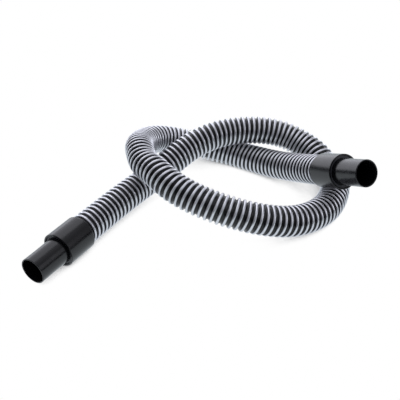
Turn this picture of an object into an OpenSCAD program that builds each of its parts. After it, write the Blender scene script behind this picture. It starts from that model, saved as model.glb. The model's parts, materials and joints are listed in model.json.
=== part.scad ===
// Ribbed vacuum hose with a swivel cuff at each end, lying in a loose overhand loop.
// Sizes are in millimetres. The floor is z = 0, and the middle of the part's outline is over the origin.

/* [Hose] */
// Outside diameter, over the corners of the ribs
hose_od = 45; // [44:0.5:45]
// Height of a rib above the wall beside it
rib_height = 2.4; // [1.6:0.1:2.6]
// Distance from one turn of the rib to the next
rib_pitch = 8.3; // [8.3:0.1:10]
// Diameter of the bore, over its corners
hose_bore = 37.5; // [34:0.5:37.5]

/* [Collars] */
// Outside diameter of a collar
collar_od = 50; // [50:0.5:52]
// Depth of the socket that the end of the hose screws into
socket_depth = 35; // [30:1:36]
// Distance from the bottom of the socket to the front rim
collar_nose = 11.5; // [11:0.5:14]
// Wall of a collar beside the socket
collar_wall = 2.2; // [2:0.1:2.2]
// Thickness of the stop that the end of the hose seats on
stop_thickness = 1.6; // [1.2:0.1:1.6]
// Radius of the rounded back edge
back_round = 2; // [1:0.5:2]
// Size of the small chamfers on the rims
edge = 0.5; // [0.3:0.1:0.6]

/* [Spigots] */
// Outside diameter of a spigot on the straight stretch behind its mouth
spigot_od = 37.4; // [37:0.1:38]
// Outside diameter of a spigot where it enters the collar
spigot_root_od = 38.2; // [38:0.1:41.4]
// Inside diameter of a spigot
spigot_bore = 34; // [33:0.5:34.5]
// Length of a spigot in front of the collar
spigot_length = 48; // [45:1:60]
// Length of the straight stretch behind the mouth
spigot_land = 22; // [15:1:25]
// Thickness of the flange that the collar holds
flange_thickness = 3.6; // [3:0.1:3.6]

/* [Small rings] */
// Thickness of a sealing washer
washer_thickness = 2; // [1.5:0.1:2]
// Thickness of a retaining ring
ring_thickness = 1.8; // [1.4:0.1:1.8]
// Depth of the groove that a retaining ring snaps into
groove_depth = 0.8; // [0.6:0.1:0.9]
// Gap between a piece that turns and a piece that stays
running_gap = 0.3; // [0.2:0.05:0.3]

/* [Left cuff] */
// Direction that the left mouth faces, measured from +X towards +Y
left_heading = -121.5; // [-122.5:0.5:-121]

/* [Right cuff] */
// Direction that the right mouth faces, measured from +X towards +Y
right_heading = -62; // [-63:0.5:-61]
// Angle by which the right mouth points above the level
right_rise = 27; // [26:1:28]

/* [Hidden] */
$fn = 96;

// Where the two ends of the hose are. The left collar lies on the floor.
left_end = [-187, -112, collar_od / 2];
right_end = [192, -19, 84];

// The smooth middle line of the hose is drawn towards these points, from the left straight end to the
// right one. It passes under itself, over itself, down and round on the floor, over, and under.
route = [
    [-116, -3, 28], [-96, 26, 28], [-73, 48, 33], [-51, 71, 42], [-25, 95, 53], [9, 116, 63],
    [48, 132, 65], [94, 139, 64], [136, 137, 56], [163, 123, 45], [184, 103, 39], [196, 82, 29],
    [205, 58, 23], [206, 33, 20], [197, 8, 18], [183, -18, 18], [160, -42, 21], [126, -64, 27],
    [82, -76, 40], [31, -74, 54], [-15, -57, 64], [-49, -34, 72], [-68, -8, 78], [-86, 13, 75],
    [-93, 42, 78], [-99, 72, 71], [-93, 104, 61], [-78, 129, 52], [-53, 145, 41], [-23, 151, 31],
    [11, 150, 24], [52, 141, 18], [88, 119, 18], [123, 89, 25],
];

// Faceting of the hose
sides = 8;
ribs_per_bore_ring = 2;
steps_per_span = 6;
// The hose passes itself only where the two stretches are this far apart along it
far_along = 3 * hose_od;

// Radii of the hose, the collars and the spigots
rib_radius = hose_od / 2;
wall_radius = rib_radius - rib_height;
bore_radius = hose_bore / 2;
collar_radius = collar_od / 2;
socket_radius = collar_radius - collar_wall;
spigot_radius = spigot_od / 2;
root_radius = spigot_root_od / 2;
air_radius = spigot_bore / 2;
washer_radius = socket_radius - 0.2;
flange_radius = socket_radius - running_gap;
ring_inner_radius = root_radius + running_gap + 0.1;
ring_outer_radius = socket_radius + groove_depth - 0.1;

// Places along a cuff, measured from the bottom of its socket towards its mouth
washer_front = stop_thickness + washer_thickness;
flange_back = washer_front + running_gap;
flange_front = flange_back + flange_thickness;
ring_back = flange_front + running_gap;
ring_front = ring_back + ring_thickness;
taper_start = collar_nose + 1;
mouth = collar_nose + spigot_length;
land_start = mouth - spigot_land;

// ---------------------------------------------------------------- the middle line of the hose

function unit(v) = v / norm(v);
function heading_vector(heading, rise) =
    [cos(rise) * cos(heading), cos(rise) * sin(heading), sin(rise)];

// Each end runs straight for one diameter, because its first three points are in line and evenly spaced.
left_out = heading_vector(left_heading, 0);
right_out = heading_vector(right_heading, right_rise);
points = concat(
    [left_end, left_end - hose_od * left_out, left_end - 2 * hose_od * left_out],
    route,
    [right_end - 2 * hose_od * right_out, right_end - hose_od * right_out, right_end]
);
spans = len(points) - 1;
control = concat([2 * points[0] - points[1]], points, [2 * points[spans] - points[spans - 1]]);

// A uniform cubic B-spline, and its slope, at t from 0 to 1 along span i
function along(i, t) = (
    pow(1 - t, 3) * control[i]
    + (3 * pow(t, 3) - 6 * pow(t, 2) + 4) * control[i + 1]
    + (-3 * pow(t, 3) + 3 * pow(t, 2) + 3 * t + 1) * control[i + 2]
    + pow(t, 3) * control[i + 3]
) / 6;
function slope(i, t) = (
    -pow(1 - t, 2) * control[i]
    + (3 * pow(t, 2) - 4 * t) * control[i + 1]
    + (-3 * pow(t, 2) + 2 * t + 1) * control[i + 2]
    + pow(t, 2) * control[i + 3]
) / 2;

// The length run up to each sample, so that ribs can be spaced by real distance
samples = [for (n = [0 : spans * steps_per_span]) n / steps_per_span];
function span_of(u) = min(floor(u), spans - 1);
function sample_point(u) = along(span_of(u), u - span_of(u));
runs = [
    for (n = 0, run = 0; n < len(samples); n = n + 1,
        run = run + (n < len(samples) ? norm(sample_point(samples[n]) - sample_point(samples[n - 1])) : 0))
    run
];
hose_length = runs[len(runs) - 1];
run_table = [for (n = [0 : len(samples) - 1]) [runs[n], samples[n]]];

// The pitch is drawn out a little, to whole turns and half the step from one corner to the next, so
// that no corner of the rib falls just short of the end of the hose.
pitch = hose_length / (floor(hose_length / rib_pitch) + 0.5 / sides);

function middle(s) = let (u = lookup(s, run_table)) sample_point(u);
function forward(s) = let (u = lookup(s, run_table)) unit(slope(span_of(u), u - span_of(u)));

// A point at radius r and angle a round the hose. The hose is flattened where it lies on the floor.
function round_hose(s, a, r) =
    let (side = unit(cross(forward(s), [0, 0, 1])), up = cross(side, forward(s)))
    middle(s) + r * (cos(a) * side + sin(a) * up);
function on_floor(p) = [p[0], p[1], max(p[2], 0)];
function corner_angle(j) = (j + 0.5) * 360 / sides;

// ---------------------------------------------------------------- the ribbed surface

// Rings run round the hose as a screw thread does: each corner lies a little further along than the
// one before it, and the last corner of a ring meets the first of the ring one turn further on. Even
// rings are the crests of the rib and odd rings are the wall between two turns.
rings = 2 * (ceil(hose_length / pitch) + 1);
function ring_run(k, j) = (k / 2 + j / sides - 1) * pitch;
// The first and the last ring of a corner that lie on the hose. Those beyond are held at its ends.
function first_ring(j) = floor(2 * (1 - j / sides));
function last_ring(j) = ceil(2 * (hose_length / pitch + 1 - j / sides));
function ring_point(k, j) =
    let (s = min(max(ring_run(k, j), 0), hose_length), inside = s > 0 && s < hose_length)
    on_floor(round_hose(s, corner_angle(j), inside && k % 2 == 0 ? rib_radius : wall_radius));
function ring_index(k, j) =
    j == sides ? ring_index(k + 2, 0) : min(max(k, first_ring(j)), last_ring(j)) * sides + j;

bore_rings = ceil(hose_length / (ribs_per_bore_ring * pitch));
bore_start = (rings + 3) * sides;
function bore_point(m, j) = round_hose(hose_length * m / bore_rings, corner_angle(j), bore_radius);
function bore_index(m, j) = bore_start + m * sides + j % sides;

// Two triangles for four corners, without one whose corners fall together at an end
function four(a, b, c, d) = [
    for (f = [[a, b, c], [a, c, d]]) if (f[0] != f[1] && f[1] != f[2] && f[2] != f[0]) f
];

hose_points = concat(
    [for (k = [0 : rings + 2]) for (j = [0 : sides - 1]) ring_point(k, j)],
    [for (m = [0 : bore_rings]) for (j = [0 : sides - 1]) bore_point(m, j)]
);
hose_faces = [
    for (k = [0 : rings - 1]) for (j = [0 : sides - 1])
        each four(ring_index(k, j), ring_index(k, j + 1), ring_index(k + 1, j + 1), ring_index(k + 1, j)),
    for (m = [0 : bore_rings - 1]) for (j = [0 : sides - 1])
        each four(bore_index(m, j), bore_index(m + 1, j), bore_index(m + 1, j + 1), bore_index(m, j + 1)),
    for (j = [0 : sides - 1])
        each four(ring_index(0, j), bore_index(0, j), bore_index(0, j + 1), ring_index(0, (j + 1) % sides)),
    for (j = [0 : sides - 1])
        each four(
            ring_index(rings, j), ring_index(rings, (j + 1) % sides),
            bore_index(bore_rings, j + 1), bore_index(bore_rings, j)
        ),
];

// The least gap between two stretches of the hose that pass each other
gap_runs = [for (s = [0 : pitch : hose_length]) s];
gap_points = [for (s = gap_runs) middle(s)];
least_gap = min([
    for (i = [0 : len(gap_runs) - 1]) for (j = [i + 1 : 1 : len(gap_runs) - 1])
        if (gap_runs[j] - gap_runs[i] > far_along) norm(gap_points[i] - gap_points[j])
]) - hose_od;
echo(hose_length = hose_length, turns_of_rib = hose_length / pitch, least_gap_to_itself = least_gap);

// ---------------------------------------------------------------- the pieces

module hose() {
    color("dimgray")
        polyhedron(points = hose_points, faces = hose_faces);
}

// A ring about the axis of a cuff
module ring(inner, outer, back, front) {
    rotate_extrude()
        translate([inner, back])
            square([outer - inner, front - back]);
}

// The outline of a collar's outside: the back edge is rounded and the front rim has a chamfer.
module collar_outline() {
    translate([0, back_round - socket_depth])
        square([collar_radius, socket_depth + collar_nose - back_round - edge]);
    translate([0, -socket_depth])
        square([collar_radius - back_round, back_round]);
    intersection() {
        translate([collar_radius - back_round, back_round - socket_depth])
            circle(back_round);
        translate([collar_radius - back_round, -socket_depth])
            square(back_round);
    }
    polygon([
        [0, collar_nose - edge], [collar_radius, collar_nose - edge],
        [collar_radius - edge, collar_nose], [0, collar_nose],
    ]);
}

// The socket for the hose, the stop, the chamber for the flange and the groove for the retaining ring
module collar_inside() {
    translate([0, -socket_depth - 1])
        square([socket_radius, socket_depth + 1]);
    square([air_radius, collar_nose]);
    translate([0, stop_thickness])
        square([socket_radius, collar_nose]);
    translate([0, ring_back])
        square([socket_radius + groove_depth, ring_thickness]);
}

module collar() {
    color("#26272b")
        rotate_extrude()
            difference() {
                collar_outline();
                collar_inside();
            }
}

module sealing_washer() {
    color("#101012")
        ring(air_radius, washer_radius, stop_thickness, washer_front);
}

module retaining_ring() {
    color("#3a3b40")
        ring(ring_inner_radius, ring_outer_radius, ring_back, ring_front);
}

// A flange, a root that the retaining ring goes round, a taper, and a straight land to the mouth
module spigot() {
    color("#1f2024")
        rotate_extrude()
            polygon([
                [air_radius, flange_back], [flange_radius, flange_back],
                [flange_radius, flange_front], [root_radius, flange_front],
                [root_radius, taper_start], [spigot_radius, land_start],
                [spigot_radius, mouth - edge], [spigot_radius - edge, mouth],
                [air_radius + edge, mouth], [air_radius, mouth - edge],
            ]);
}

// Children are drawn along +Z and are set on the end of the hose, pointing out of the mouth.
module on_end(end, heading, rise) {
    translate(end)
        rotate([0, 90 - rise, heading])
            children();
}

module on_left_end() {
    on_end(left_end, left_heading, 0)
        children();
}

module on_right_end() {
    on_end(right_end, right_heading, right_rise)
        children();
}

module left_collar() { on_left_end() collar(); }
module left_sealing_washer() { on_left_end() sealing_washer(); }
module left_spigot() { on_left_end() spigot(); }
module left_retaining_ring() { on_left_end() retaining_ring(); }
module right_collar() { on_right_end() collar(); }
module right_sealing_washer() { on_right_end() sealing_washer(); }
module right_spigot() { on_right_end() spigot(); }
module right_retaining_ring() { on_right_end() retaining_ring(); }

hose();
left_collar();
left_sealing_washer();
left_spigot();
left_retaining_ring();
right_collar();
right_sealing_washer();
right_spigot();
right_retaining_ring();
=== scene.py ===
# %% [markdown]
# # A ribbed vacuum hose with a swivel cuff at each end
#
# A suction hose is a thin black wall with a stiffer grey rib wound round it like the thread of a screw.
# The wall gives, the rib keeps the bore open, and so the hose bends but doesn't collapse. At each end a
# black collar is screwed onto the ribs, and a spigot turns freely in the collar.
#
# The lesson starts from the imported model, whose pieces already lie at their real size and place. The
# collars and spigots are good as they are and only get a finish. The hose is modelled anew, with far
# more detail than a model for motion needs. All lengths are in metres.

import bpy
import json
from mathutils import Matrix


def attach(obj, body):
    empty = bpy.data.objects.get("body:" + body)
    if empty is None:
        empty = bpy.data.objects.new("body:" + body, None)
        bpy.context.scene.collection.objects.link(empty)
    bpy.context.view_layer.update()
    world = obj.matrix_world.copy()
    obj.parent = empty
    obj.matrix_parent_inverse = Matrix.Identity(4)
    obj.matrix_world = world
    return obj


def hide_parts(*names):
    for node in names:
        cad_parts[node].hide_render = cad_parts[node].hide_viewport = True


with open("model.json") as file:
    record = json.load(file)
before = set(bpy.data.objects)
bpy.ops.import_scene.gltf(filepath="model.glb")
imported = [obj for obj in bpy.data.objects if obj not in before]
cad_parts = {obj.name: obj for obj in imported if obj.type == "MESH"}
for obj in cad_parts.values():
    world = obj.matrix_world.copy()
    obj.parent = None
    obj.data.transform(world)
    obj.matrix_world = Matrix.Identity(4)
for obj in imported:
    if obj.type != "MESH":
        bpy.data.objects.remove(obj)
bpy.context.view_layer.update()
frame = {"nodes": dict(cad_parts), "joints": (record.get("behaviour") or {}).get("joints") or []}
print("pieces in the packed model:", ", ".join(sorted(frame["nodes"])))

# %% [markdown]
# ## Tools
#
# Blender's Python brings numpy, which works out the places of a hundred thousand points at once, where a
# plain loop over them would be slow. The view transform is set to Standard, so that a colour shows as it
# is written and isn't bent by a film curve.

# %% Tools of the lesson
import json
import math

import bpy
import numpy as np
from mathutils import Vector

MM = 0.001
bpy.context.scene.view_settings.view_transform = "Standard"
print("Blender", bpy.app.version_string, "with numpy", np.__version__)

# %% [markdown]
# ## The camera
#
# The hose is seen from in front and from above, from a little under a metre away, with a lens slightly
# longer than normal. The lens and the place were worked out from the widths of the near and the far
# stretches of the hose, which have the same diameter.

# %% Camera
CAMERA_PLACE = (-0.0040, -0.7353, 0.5500)
CAMERA_LOOKS_DOWN = math.radians(35.77)
SENSOR_MM = 36.0
LENS_MM = 54.36

camera_data = bpy.data.cameras.new("camera")
camera_data.sensor_width = SENSOR_MM
camera_data.lens = LENS_MM
camera = bpy.data.objects.new("camera", camera_data)
camera.location = CAMERA_PLACE
camera.rotation_euler = (math.radians(90) - CAMERA_LOOKS_DOWN, 0, 0)
bpy.context.collection.objects.link(camera)
bpy.context.scene.camera = camera
print("camera is", round(Vector(CAMERA_PLACE).length, 3), "m from the middle of the floor under the hose")

# %% [markdown]
# ## The line that the hose follows
#
# The hose goes under itself, over itself, down and round on the floor, over, and under, like the start
# of a loose knot. A cubic B-spline is a good line for it, because it never bends suddenly: it is drawn
# towards its points and doesn't go through them. Both ends run straight into their collars, so their
# first three points lie in line, one diameter apart. The directions come from the axes that the spigots
# turn about.

# %% Sizes of the hose and the points of its line
HOSE_OD = 0.045
RIB_HEIGHT = 0.0024
RIB_PITCH = 0.0083
SWIVEL_FROM_END = 0.0057

ROUTE = [
    [-0.116, -0.003, 0.028], [-0.096, 0.026, 0.028], [-0.073, 0.048, 0.033], [-0.051, 0.071, 0.042],
    [-0.025, 0.095, 0.053], [0.009, 0.116, 0.063], [0.048, 0.132, 0.065], [0.094, 0.139, 0.064],
    [0.136, 0.137, 0.056], [0.163, 0.123, 0.045], [0.184, 0.103, 0.039], [0.196, 0.082, 0.029],
    [0.205, 0.058, 0.023], [0.206, 0.033, 0.020], [0.197, 0.008, 0.018], [0.183, -0.018, 0.018],
    [0.160, -0.042, 0.021], [0.126, -0.064, 0.027], [0.082, -0.076, 0.040], [0.031, -0.074, 0.054],
    [-0.015, -0.057, 0.064], [-0.049, -0.034, 0.072], [-0.068, -0.008, 0.078], [-0.086, 0.013, 0.075],
    [-0.093, 0.042, 0.078], [-0.099, 0.072, 0.071], [-0.093, 0.104, 0.061], [-0.078, 0.129, 0.052],
    [-0.053, 0.145, 0.041], [-0.023, 0.151, 0.031], [0.011, 0.150, 0.024], [0.052, 0.141, 0.018],
    [0.088, 0.119, 0.018], [0.123, 0.089, 0.025],
]

swivels = {joint["name"]: joint for joint in frame["joints"]}
left_out = np.array(swivels["left_swivel"]["axis"])
right_out = np.array(swivels["right_swivel"]["axis"])
left_end = np.array(swivels["left_swivel"]["pos_m"]) - SWIVEL_FROM_END * left_out
right_end = np.array(swivels["right_swivel"]["pos_m"]) - SWIVEL_FROM_END * right_out
print("the hose runs from", left_end.round(3), "to", right_end.round(3))

# %% The smooth line, its length and its direction
SAMPLES_PER_SPAN = 24

points = np.vstack(
    [left_end - step * HOSE_OD * left_out for step in (0, 1, 2)]
    + [ROUTE]
    + [right_end - step * HOSE_OD * right_out for step in (2, 1, 0)]
)
spans = len(points) - 1
# One more point past each end makes the line reach its first and its last point.
control = np.vstack([2 * points[0] - points[1], points, 2 * points[-1] - points[-2]])


def spline(u):
    """Places on the B-spline, and its directions, at u from 0 to the number of spans."""
    span = np.minimum(u.astype(int), spans - 1)
    t = (u - span)[:, None]
    c = [control[span + k] for k in range(4)]
    place = (
        (1 - t) ** 3 * c[0]
        + (3 * t**3 - 6 * t**2 + 4) * c[1]
        + (-3 * t**3 + 3 * t**2 + 3 * t + 1) * c[2]
        + t**3 * c[3]
    ) / 6
    slope = -((1 - t) ** 2) * c[0] + (3 * t**2 - 4 * t) * c[1] + (-3 * t**2 + 2 * t + 1) * c[2] + t**2 * c[3]
    return place, slope / np.linalg.norm(slope, axis=1)[:, None]


sample_u = np.linspace(0, spans, spans * SAMPLES_PER_SPAN + 1)
line, _ = spline(sample_u)
runs = np.concatenate([[0], np.cumsum(np.linalg.norm(np.diff(line, axis=0), axis=1))])
hose_length = runs[-1]
print(f"the hose is {hose_length:.3f} m long")

# %% [markdown]
# ## From a line to a surface
#
# Every point of the hose is a run along the line, an angle round it and a distance from it. The angle
# starts at the side and goes over the top. The hose gives a little where its weight rests on the floor:
# the crests of the ribs are pressed flat, and the wall stays above the floor by half of its depth below
# the crests.
#
# Such points come in rings, one after the other, and so one function lists the faces between them for
# the wall, its inside and the rib alike.

# %% A point on the hose
RIB_RADIUS = HOSE_OD / 2
WALL_RADIUS = RIB_RADIUS - RIB_HEIGHT
GIVE_OF_WALL = 0.5


def frame_at(run):
    """Place, direction, side and up of the hose at each run along it."""
    place, forward = spline(np.interp(run, runs, sample_u))
    side = np.cross(forward, (0, 0, 1))
    side /= np.linalg.norm(side, axis=1)[:, None]
    return place, forward, side, np.cross(side, forward)


def rest_on_floor(surface, radius):
    """Lifts what lies under the floor: crests to the floor itself, and what is nearer the bore above it."""
    surface[..., 2] = np.maximum(surface[..., 2], GIVE_OF_WALL * (RIB_RADIUS - radius))
    return surface


print(f"the wall has a radius of {WALL_RADIUS / MM:.1f} mm, and with the rib {RIB_RADIUS / MM:.1f} mm")


# %% A mesh from rings of points
def grid_faces(rows, columns):
    """Four-cornered faces between rows of points, where every row is a closed ring."""
    row, column = np.meshgrid(np.arange(rows - 1), np.arange(columns), indexing="ij")
    after = (column + 1) % columns
    corners = [row * columns + column, row * columns + after]
    corners += [(row + 1) * columns + after, (row + 1) * columns + column]
    return np.stack(corners, axis=-1).reshape(-1, 4)


def make_piece(name, verts, faces):
    """A smooth-shaded object of the given points and faces."""
    mesh = bpy.data.meshes.new(name)
    mesh.from_pydata(verts.tolist(), [], faces)
    mesh.validate()
    mesh.shade_smooth()
    piece = bpy.data.objects.new(name, mesh)
    bpy.context.collection.objects.link(piece)
    print(f"{name}: {len(mesh.vertices)} points, {len(mesh.polygons)} faces")
    return piece


print("3 rings of 4 points give", len(grid_faces(3, 4)), "faces")

# %% [markdown]
# ## The wall
#
# The wall is a strip of soft vinyl, wound so that its edges overlap under the rib and weld together.
# Between two turns it is drawn in, so the ribs stand out like teeth along the outline. It could be a
# plain tube, but then the valleys would look machined and too shallow. So its radius is full under the
# rib and falls smoothly to the middle between two turns. The inside is a second, plain tube, and a flat
# ring joins the two at each end.
#
# Where the rib is at a given run along the hose follows from its pitch. It starts a sixteenth of a turn
# past the side, and makes a whole number of turns and one sixteenth more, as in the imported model.

# %% Wall of the hose
RIB_START_TURN = 1 / 16
RINGS_PER_TURN = 8
SEGMENTS = 36
WALL_DRAWN_IN = 0.0014
WALL_THICKNESS = 0.0006
FULL_UNDER_RIB = 0.18
MIDWAY = 0.5

turns = math.floor(hose_length / RIB_PITCH) + RIB_START_TURN
pitch = hose_length / turns
wall_runs = np.linspace(0, hose_length, math.ceil(turns * RINGS_PER_TURN) + 1)
bore_runs = np.linspace(0, hose_length, math.ceil(turns) + 1)
angles = np.arange(SEGMENTS) * 2 * math.pi / SEGMENTS


def tube(run, radius):
    """Rings of points round the hose, at one radius or at one for every point."""
    place, _, side, up = frame_at(run)
    outward = np.cos(angles)[None, :, None] * side[:, None] + np.sin(angles)[None, :, None] * up[:, None]
    radius = np.broadcast_to(radius, outward.shape[:2])
    return rest_on_floor(place[:, None] + radius[..., None] * outward, radius)


turns_along = wall_runs[:, None] / pitch - angles[None] / (2 * math.pi) + RIB_START_TURN
turns_from_rib = np.abs(turns_along - np.round(turns_along))
slack = np.clip((turns_from_rib - FULL_UNDER_RIB) / (MIDWAY - FULL_UNDER_RIB), 0, 1)
wall_radii = WALL_RADIUS - WALL_DRAWN_IN * slack**2 * (3 - 2 * slack)
outside = tube(wall_runs, wall_radii).reshape(-1, 3)
inside = tube(bore_runs, WALL_RADIUS - WALL_DRAWN_IN - WALL_THICKNESS).reshape(-1, 3)

outside_faces = grid_faces(len(wall_runs), SEGMENTS)
inside_faces = grid_faces(len(bore_runs), SEGMENTS)[:, ::-1] + len(outside)
last_outside = len(outside) - SEGMENTS
last_inside = len(outside) + len(inside) - SEGMENTS
rim_faces = []
for k in range(SEGMENTS):
    after = (k + 1) % SEGMENTS
    rim_faces.append([k, len(outside) + k, len(outside) + after, after])
    rim_faces.append([last_outside + k, last_outside + after, last_inside + after, last_inside + k])

hose_wall = make_piece(
    "hose_wall", np.vstack([outside, inside]), outside_faces.tolist() + inside_faces.tolist() + rim_faces
)
print(f"the rib makes {turns:.1f} turns, {pitch / MM:.2f} mm apart")

# %% [markdown]
# ## The rib
#
# The rib is a bead of harder vinyl that is laid on the overlap while both are hot. It is one unbroken
# helix, so it is made as one sweep: a rounded profile is carried round the hose and moves on by one
# pitch in each turn. The profile keeps its width where the hose bends, and only the wall between two
# turns is squeezed or stretched, as on the real hose. Every point also keeps how high it lies on the
# bead, which the material uses later.

# %% Profile of the rib
RIB_FOOT = 0.0044
RIB_SUNK = 0.0006
PROFILE_STEPS = 9

profile_angle = np.linspace(math.pi, 0, PROFILE_STEPS)
profile_along = np.append(RIB_FOOT / 2 * np.cos(profile_angle), [RIB_FOOT / 2, -RIB_FOOT / 2])
profile_height = np.append(RIB_HEIGHT * np.sin(profile_angle), [-RIB_SUNK, -RIB_SUNK])
print(f"the rib is {RIB_FOOT / MM:.1f} mm wide at its foot and {RIB_HEIGHT / MM:.1f} mm high")

# %% Sweep of the rib
RIB_ENDS_SHORT = 0.003

sections = math.ceil((hose_length - 2 * RIB_ENDS_SHORT) / pitch * SEGMENTS) + 1
rib_runs = np.linspace(RIB_ENDS_SHORT, hose_length - RIB_ENDS_SHORT, sections)
rib_turn = 2 * math.pi * (rib_runs / pitch + RIB_START_TURN)
place, forward, side, up = frame_at(rib_runs)
outward = np.cos(rib_turn)[:, None] * side + np.sin(rib_turn)[:, None] * up
rib_radii = WALL_RADIUS + profile_height
rib_points = (
    place[:, None]
    + rib_radii[None, :, None] * outward[:, None]
    + profile_along[None, :, None] * forward[:, None]
)
rib_points = rest_on_floor(rib_points, rib_radii[None])

columns = len(profile_along)
rib_faces = grid_faces(sections, columns).tolist()
rib_faces.append(list(range(columns)))
rib_faces.append(list(range(sections * columns - 1, (sections - 1) * columns - 1, -1)))
hose_rib = make_piece("hose_rib", rib_points.reshape(-1, 3), rib_faces)

height = hose_rib.data.attributes.new("height_on_rib", "FLOAT", "POINT")
height.data.foreach_set("value", np.tile(np.clip(profile_height / RIB_HEIGHT, 0, 1), sections))

# %% [markdown]
# ## What the new pieces stand for
#
# Wall and rib take the place of the plain ribbed hose of the imported model and ride on the same body as
# the collars.

# %% Hose pieces ride and replace
for piece, slot in ((hose_wall, "hose_wall"), (hose_rib, "hose_rib")):
    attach(piece, "hose_and_collars")
    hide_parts("hose")

print(f"declared as a free hose, {hose_length:.3f} m long and {HOSE_OD / MM:.0f} mm across")

# %% [markdown]
# ## Materials
#
# Every material starts from what the real one is, and its colours are written as sRGB hex values, as a
# paint chart gives them. One function turns them to linear light, one adds a node, and one gives the
# finished material to its pieces. Nodes could be placed by hand in the editor, but in code each value has
# its reason beside it.
#
# Grain, clouds and creases are worked out from a point's place on its own object, so they turn with a
# spigot when it turns, and nothing has to be unwrapped.

# %% Colour, node and material helpers
def colour(hex_value):
    """A linear RGBA colour from an sRGB hex value such as #26272b."""
    channels = [int(hex_value[k : k + 2], 16) / 255 for k in (1, 3, 5)]
    return [c / 12.92 if c <= 0.04045 else ((c + 0.055) / 1.055) ** 2.4 for c in channels] + [1.0]


def add_node(owner, kind, inputs=None, **settings):
    """Adds a node to a material or a world, and sets its inputs to values or links them to sockets.

    Inputs go by name, or by number where a node has several of one name.
    """
    node = owner.node_tree.nodes.new(kind)
    for name, value in settings.items():
        setattr(node, name, value)
    for name, value in (inputs or {}).items():
        if isinstance(value, bpy.types.NodeSocket):
            owner.node_tree.links.new(value, node.inputs[name])
        else:
            node.inputs[name].default_value = value
    return node


def new_material(name):
    """A material with no nodes yet."""
    material = bpy.data.materials.new(name)
    material.use_nodes = True
    material.node_tree.nodes.clear()
    return material


def give(material, pieces):
    """Makes this the only material of every one of the pieces."""
    for piece in pieces:
        piece.data.materials.clear()
        piece.data.materials.append(material)
    print(material.name, "on", ", ".join(piece.name for piece in pieces))


def nodes_named(*endings):
    """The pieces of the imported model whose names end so."""
    return [node for name, node in frame["nodes"].items() if name.endswith(endings)]


print(f"half way between black and white, #808080 is {colour('#808080')[0]:.2f} in linear light")

# %% [markdown]
# ### The rib: rigid vinyl, extruded
#
# Hard PVC comes hot out of a die with a smooth, satin skin. The grey of such ribs is a silver pigment of
# fine aluminium flakes, which lie flat in the skin and mirror the room softly. A plain grey plastic
# would look like chalk beside it. So the rib is four fifths a metal to the eye: bright where it faces a
# bright wall, and dark where it faces a dark one.
#
# Its flanks darken towards the foot. That is partly a smear of the black wall that they were welded to,
# and partly painted shade, where the valley between two turns lies in shadow.
# Broad, faint clouds of a slightly different grey are what handling leaves, and where the skin is paler
# it is also rubbed a little duller. A very shallow unevenness, 2 mm across, is left by the die.

# %% Rib material
CLOUD_WIDTH = 40 * MM
DIE_MARK_WIDTH = 2 * MM
DIE_MARK_DEPTH = 0.05 * MM
# Heights on the bead where the painted shade and the smear at the foot are full and where they end.
SMEAR_AND_SHADE_FULL_BELOW = 0.35
SMEAR_AND_SHADE_GONE_ABOVE = 0.80


def make_rigid_vinyl():
    """Silvery grey, with a smear and painted shade darkening it towards the foot of the rib."""
    material = new_material("rigid_pvc_extruded_silver_grey")
    height = add_node(material, "ShaderNodeAttribute", attribute_name="height_on_rib").outputs["Fac"]
    place = add_node(material, "ShaderNodeTexCoord").outputs["Object"]
    clouds = add_node(
        material, "ShaderNodeTexNoise", {"Vector": place, "Scale": 1 / CLOUD_WIDTH, "Detail": 3.0}
    ).outputs["Fac"]
    grey = add_node(
        material, "ShaderNodeMix", {"Factor": clouds, "A": colour("#d5d6db"), "B": colour("#e0e1e6")},
        data_type="RGBA",
    ).outputs["Result"]
    shine = add_node(
        material, "ShaderNodeMapRange", {"Value": clouds, "To Min": 0.25, "To Max": 0.35}
    ).outputs["Result"]
    die_marks = add_node(
        material, "ShaderNodeTexNoise", {"Vector": place, "Scale": 1 / DIE_MARK_WIDTH, "Detail": 1.0}
    ).outputs["Fac"]
    bump = add_node(
        material, "ShaderNodeBump", {"Height": die_marks, "Strength": 0.2, "Distance": DIE_MARK_DEPTH}
    ).outputs["Normal"]
    # Painted shade, partly a smear of the wall: low on the flank the grey goes to the dark grey #3c3c44.
    clear_of_smear_and_shade = add_node(
        material, "ShaderNodeMapRange",
        {"Value": height, "From Min": SMEAR_AND_SHADE_FULL_BELOW, "From Max": SMEAR_AND_SHADE_GONE_ABOVE},
        interpolation_type="SMOOTHSTEP",
    ).outputs["Result"]
    skin = add_node(
        material, "ShaderNodeMix", {"Factor": clear_of_smear_and_shade, "A": colour("#3c3c44"), "B": grey}, data_type="RGBA"
    ).outputs["Result"]
    shader = add_node(
        material, "ShaderNodeBsdfPrincipled",
        {"Base Color": skin, "Metallic": 0.8, "Roughness": shine, "IOR": 1.53, "Normal": bump},
    )
    add_node(material, "ShaderNodeOutputMaterial", {"Surface": shader.outputs["BSDF"]})
    return material


give(make_rigid_vinyl(), [hose_rib])

# %% [markdown]
# ### The wall: soft vinyl film
#
# Plasticised PVC film is as black as the cuffs. It is calendered, or rolled flat between hot rollers, and
# has a soft shine that shows only at a slant, where the hose turns away from the eye. Fine dust makes it
# a little paler in patches, and it is never quite smooth: every bend leaves shallow creases, some 4 mm
# apart. A single smooth black would look like a gap between the ribs. Its reflections are weaker than
# plain PVC's, so its IOR is set below the usual 1.53.

# %% Wall material
DUST_WIDTH = 6 * MM
CREASE_WIDTH = 4 * MM
CREASE_DEPTH = 0.3 * MM


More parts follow.
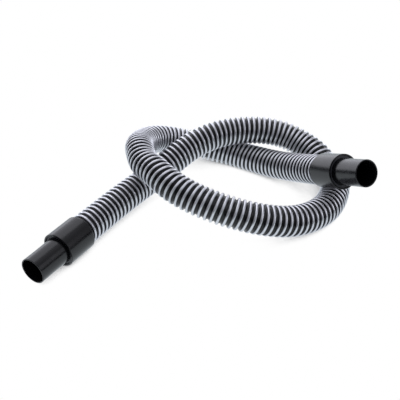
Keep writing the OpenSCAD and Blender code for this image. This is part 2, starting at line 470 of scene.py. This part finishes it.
def make_soft_vinyl():
    """Black, with dusty patches and shallow creases."""
    material = new_material("soft_pvc_film_black")
    place = add_node(material, "ShaderNodeTexCoord").outputs["Object"]
    dust = add_node(
        material, "ShaderNodeTexNoise", {"Vector": place, "Scale": 1 / DUST_WIDTH, "Detail": 4.0}
    ).outputs["Fac"]
    black = add_node(
        material, "ShaderNodeMix", {"Factor": dust, "A": colour("#060607"), "B": colour("#0d0d10")},
        data_type="RGBA",
    ).outputs["Result"]
    dullness = add_node(
        material, "ShaderNodeMapRange", {"Value": dust, "To Min": 0.20, "To Max": 0.32}
    ).outputs["Result"]
    creases = add_node(
        material, "ShaderNodeTexNoise", {"Vector": place, "Scale": 1 / CREASE_WIDTH, "Detail": 2.0}
    ).outputs["Fac"]
    bump = add_node(
        material, "ShaderNodeBump", {"Height": creases, "Strength": 0.4, "Distance": CREASE_DEPTH}
    ).outputs["Normal"]
    shader = add_node(
        material, "ShaderNodeBsdfPrincipled",
        {"Base Color": black, "Roughness": dullness, "IOR": 1.42, "Normal": bump},
    )
    add_node(material, "ShaderNodeOutputMaterial", {"Surface": shader.outputs["BSDF"]})
    return material


give(make_soft_vinyl(), [hose_wall])

# %% [markdown]
# ### The cuffs: black ABS, injection moulded
#
# ABS takes the face of its mould, which was finely eroded here, so the cuffs have a close grain and a
# satin shine. Handling polishes them in places and dulls them in others. To the eye that is a deep black
# with one soft streak of light along the cuff and a bright line at each edge. The grain could be cut into
# the mesh, but a bump shows the same at this depth. The real grain of about 0.1 mm is too fine to show,
# so it is drawn 0.9 mm coarse. So fine a grain also weakens what the skin mirrors, and for that the IOR
# is set a little below ABS's usual 1.54.

# %% Cuff material
GRAIN_WIDTH = 0.9 * MM
GRAIN_DEPTH = 0.1 * MM
HANDLED_PATCH = 12 * MM


def make_abs():
    """Deep black with a close grain, polished in patches."""
    material = new_material("abs_moulded_black")
    place = add_node(material, "ShaderNodeTexCoord").outputs["Object"]
    grain = add_node(
        material, "ShaderNodeTexNoise", {"Vector": place, "Scale": 1 / GRAIN_WIDTH, "Detail": 2.0}
    ).outputs["Fac"]
    patches = add_node(
        material, "ShaderNodeTexNoise", {"Vector": place, "Scale": 1 / HANDLED_PATCH, "Detail": 4.0}
    ).outputs["Fac"]
    black = add_node(
        material, "ShaderNodeMix", {"Factor": patches, "A": colour("#0c0c0e"), "B": colour("#131316")},
        data_type="RGBA",
    ).outputs["Result"]
    shine = add_node(
        material, "ShaderNodeMapRange", {"Value": patches, "To Min": 0.18, "To Max": 0.26}
    ).outputs["Result"]
    bump = add_node(
        material, "ShaderNodeBump", {"Height": grain, "Strength": 0.12, "Distance": GRAIN_DEPTH}
    ).outputs["Normal"]
    shader = add_node(
        material, "ShaderNodeBsdfPrincipled",
        {"Base Color": black, "Roughness": shine, "IOR": 1.48, "Normal": bump},
    )
    add_node(material, "ShaderNodeOutputMaterial", {"Surface": shader.outputs["BSDF"]})
    return material


give(make_abs(), nodes_named("_collar", "_spigot"))

# %% [markdown]
# ### Washers and rings: EPDM rubber and acetal
#
# Two small pieces hide in each cuff. The washer is cut from EPDM rubber sheet, dull and almost black with
# its carbon filler. The retaining ring is moulded in acetal, a slippery plastic, grey and satin, and only
# its edge shows in the gap round the spigot. Both are the same kind of surface, a solid colour with a
# fine mottle, so one function makes them from their two shades, their dullness and the size of the
# mottle.

# %% Washer and ring materials
def make_mottled(name, dark, light, roughness, mottle_width):
    """A dark and a light shade of one colour in a fine mottle."""
    material = new_material(name)
    place = add_node(material, "ShaderNodeTexCoord").outputs["Object"]
    mottle = add_node(
        material, "ShaderNodeTexNoise", {"Vector": place, "Scale": 1 / mottle_width, "Detail": 3.0}
    ).outputs["Fac"]
    mixed = add_node(
        material, "ShaderNodeMix", {"Factor": mottle, "A": colour(dark), "B": colour(light)},
        data_type="RGBA",
    ).outputs["Result"]
    shader = add_node(
        material, "ShaderNodeBsdfPrincipled", {"Base Color": mixed, "Roughness": roughness}
    )
    add_node(material, "ShaderNodeOutputMaterial", {"Surface": shader.outputs["BSDF"]})
    return material


rubber = make_mottled("epdm_rubber_black", "#0c0c0d", "#161617", roughness=0.75, mottle_width=1.5 * MM)
acetal = make_mottled("acetal_moulded_grey", "#34353a", "#44454b", roughness=0.45, mottle_width=3 * MM)
give(rubber, nodes_named("_sealing_washer"))
give(acetal, nodes_named("_retaining_ring"))

# %% [markdown]
# ## The studio
#
# Shiny things show the room around them, so the studio is built from what they should show. It is a
# white table under a pale ceiling, with a bright white backdrop on the far side, and the side of the
# room behind the camera is left dark. Each rib then has a bright edge on both sides, from the backdrop
# and from the table, and stays darker along its middle. Black plastic needs that as well: without bright
# edges it would be a hole in the picture. The table lies a hair below the hose, so that the two never
# share a surface.

# %% Table
TABLE_SIDE = 8.0
TABLE_UNDER_FLOOR = 0.2 * MM

half = TABLE_SIDE / 2
corners_seen_from_above = ((-half, -half), (half, -half), (half, half), (-half, half))
corners = [(x, y, -TABLE_UNDER_FLOOR) for x, y in corners_seen_from_above]
table_mesh = bpy.data.meshes.new("table")
table_mesh.from_pydata(corners, [], [(0, 1, 2, 3)])
table = bpy.data.objects.new("table", table_mesh)
bpy.context.collection.objects.link(table)
print(f"the table is {TABLE_SIDE:.0f} m wide")

# %% [markdown]
# ### The table's white paper
#
# Strong lamps would make the paper as white as the background of a catalogue, but they would bleach the
# grey ribs too. So the paper has a glow of its own instead, which only the camera and a shiny surface see.
# To the camera, the glow fades where the hose leaves little room above the paper. There the paper's own
# shading shows, and that keeps the shadow under the hose.

# %% White paper
SHADOW_REACH = 50 * MM
SHADOW_SAMPLES = 8
GLOW_GONE_AT = 0.05
GLOW_FULL_AT = 0.35

paper_material = new_material("white_paper")
rays = add_node(paper_material, "ShaderNodeLightPath").outputs
room_above = add_node(
    paper_material, "ShaderNodeAmbientOcclusion", {"Distance": SHADOW_REACH}, samples=SHADOW_SAMPLES
).outputs["AO"]
glow = add_node(
    paper_material, "ShaderNodeMapRange",
    {"Value": room_above, "From Min": GLOW_GONE_AT, "From Max": GLOW_FULL_AT},
    interpolation_type="SMOOTHSTEP",
).outputs["Result"]
in_view = add_node(
    paper_material, "ShaderNodeMath", {0: rays["Is Camera Ray"], 1: glow}, operation="MULTIPLY"
).outputs["Value"]
share = add_node(
    paper_material, "ShaderNodeMath", {0: in_view, 1: rays["Is Glossy Ray"]}, operation="MAXIMUM"
).outputs["Value"]
paper = add_node(paper_material, "ShaderNodeBsdfDiffuse", {"Color": colour("#f2f2f2")}).outputs["BSDF"]
tint = add_node(
    paper_material, "ShaderNodeMix",
    {"Factor": rays["Is Camera Ray"], "A": colour("#f1f9ff"), "B": colour("#ffffff")}, data_type="RGBA",
).outputs["Result"]
light = add_node(paper_material, "ShaderNodeEmission", {"Color": tint, "Strength": 1.0}).outputs["Emission"]
surface = add_node(paper_material, "ShaderNodeMixShader", {0: share, 1: paper, 2: light}).outputs["Shader"]
add_node(paper_material, "ShaderNodeOutputMaterial", {"Surface": surface})
give(paper_material, [table])

# %% [markdown]
# ### The room
#
# The room is a formula on the direction in which one looks: y runs from the camera's side to the back,
# and z goes up. Low down stands the backdrop, on the far side only. Above it the ceiling grows lighter
# with height, and it fades out towards the camera's side. All of it is a cool white. Walls and a ceiling
# of mesh would do the same, but a formula has no edges that could show in the shine.

# %% Room
BACKDROP = 2.2
BACKDROP_STARTS, BACKDROP_FULL = 0.0, 0.25
BACKDROP_ENDS_ABOVE, CEILING_STARTS_ABOVE = 12, 20
CEILING_LOW, CEILING_HIGH = 0.35, 0.72
CEILING_RISES_FROM, CEILING_RISES_TO = 42, 75
CEILING_BEHIND_CAMERA = 0.12
BEHIND_CAMERA, OVER_HOSE = -0.85, -0.45
COOL_WHITE = "#f5f6ff"

world = bpy.data.worlds.new("studio")
bpy.context.scene.world = world
world.use_nodes = True
world.node_tree.nodes.clear()
direction = add_node(world, "ShaderNodeTexCoord").outputs["Generated"]
towards = add_node(world, "ShaderNodeSeparateXYZ", {"Vector": direction}).outputs


def z_at(degrees):
    """The z of a direction that points so many degrees above the horizon."""
    return math.sin(math.radians(degrees))


backdrop = add_node(
    world, "ShaderNodeMapRange",
    {"Value": towards["Y"], "From Min": BACKDROP_STARTS, "From Max": BACKDROP_FULL, "To Max": BACKDROP},
    interpolation_type="SMOOTHSTEP",
).outputs["Result"]
overhead = add_node(
    world, "ShaderNodeMapRange",
    {
        "Value": towards["Z"],
        "From Min": z_at(CEILING_RISES_FROM),
        "From Max": z_at(CEILING_RISES_TO),
        "To Min": CEILING_LOW,
        "To Max": CEILING_HIGH,
    },
    interpolation_type="SMOOTHSTEP",
).outputs["Result"]
ceiling = add_node(
    world, "ShaderNodeMapRange",
    {
        "Value": towards["Y"],
        "From Min": BEHIND_CAMERA,
        "From Max": OVER_HOSE,
        "To Min": CEILING_BEHIND_CAMERA,
        "To Max": overhead,
    },
    interpolation_type="SMOOTHSTEP",
).outputs["Result"]
above_backdrop = add_node(
    world, "ShaderNodeMapRange",
    {"Value": towards["Z"], "From Min": z_at(BACKDROP_ENDS_ABOVE), "From Max": z_at(CEILING_STARTS_ABOVE)},
    interpolation_type="SMOOTHSTEP",
).outputs["Result"]
room = add_node(
    world, "ShaderNodeMix", {"Factor": above_backdrop, "A": backdrop, "B": ceiling}, data_type="FLOAT"
).outputs["Result"]
print(f"backdrop at {BACKDROP}, ceiling from {CEILING_LOW} to {CEILING_HIGH}")

# %% [markdown]
# ### What the camera sees of the room
#
# The hose is lit by the room and mirrors it, but past the edge of the table the camera sees plain white,
# as if a paper background hung there.

# %% Background of the picture
room_light = add_node(
    world, "ShaderNodeBackground", {"Color": colour(COOL_WHITE), "Strength": room}
).outputs["Background"]
picture_white = add_node(
    world, "ShaderNodeBackground", {"Color": colour("#ffffff"), "Strength": 1.0}
).outputs["Background"]
to_camera = add_node(world, "ShaderNodeLightPath").outputs["Is Camera Ray"]
sky = add_node(
    world, "ShaderNodeMixShader", {0: to_camera, 1: room_light, 2: picture_white}
).outputs["Shader"]
add_node(world, "ShaderNodeOutputWorld", {"Surface": sky})
print("the world has", len(world.node_tree.nodes), "nodes")

# %% [markdown]
# ### The lamps
#
# Two wide softboxes give the light a direction: a large one high behind the hose, a little to the left,
# and a smaller one low on the right. Small bare lamps would draw hard shadows and sharp points of light.
# The light that falls on the table comes to about 0.8 in all. At 1 a colour would show exactly as it is
# written.

# %% Softboxes
SOFTBOXES = {
    "back_softbox": {"place": (-0.65, 1.15, 1.35), "size": (2.2, 2.0), "watts": 15.5},
    "right_softbox": {"place": (1.27, -0.74, 0.85), "size": (1.4, 1.0), "watts": 4.0},
}

for name, box in SOFTBOXES.items():
    lamp_data = bpy.data.lights.new(name, "AREA")
    lamp_data.shape = "RECTANGLE"
    lamp_data.size, lamp_data.size_y = box["size"]
    lamp_data.energy = box["watts"]
    lamp_data.color = colour(COOL_WHITE)[:3]
    lamp = bpy.data.objects.new(name, lamp_data)
    lamp.location = box["place"]
    lamp.rotation_euler = (-Vector(box["place"])).to_track_quat("-Z", "Y").to_euler()
    bpy.context.collection.objects.link(lamp)
    print(f"{name}: {box['watts']} W, {Vector(box['place']).length:.2f} m away")
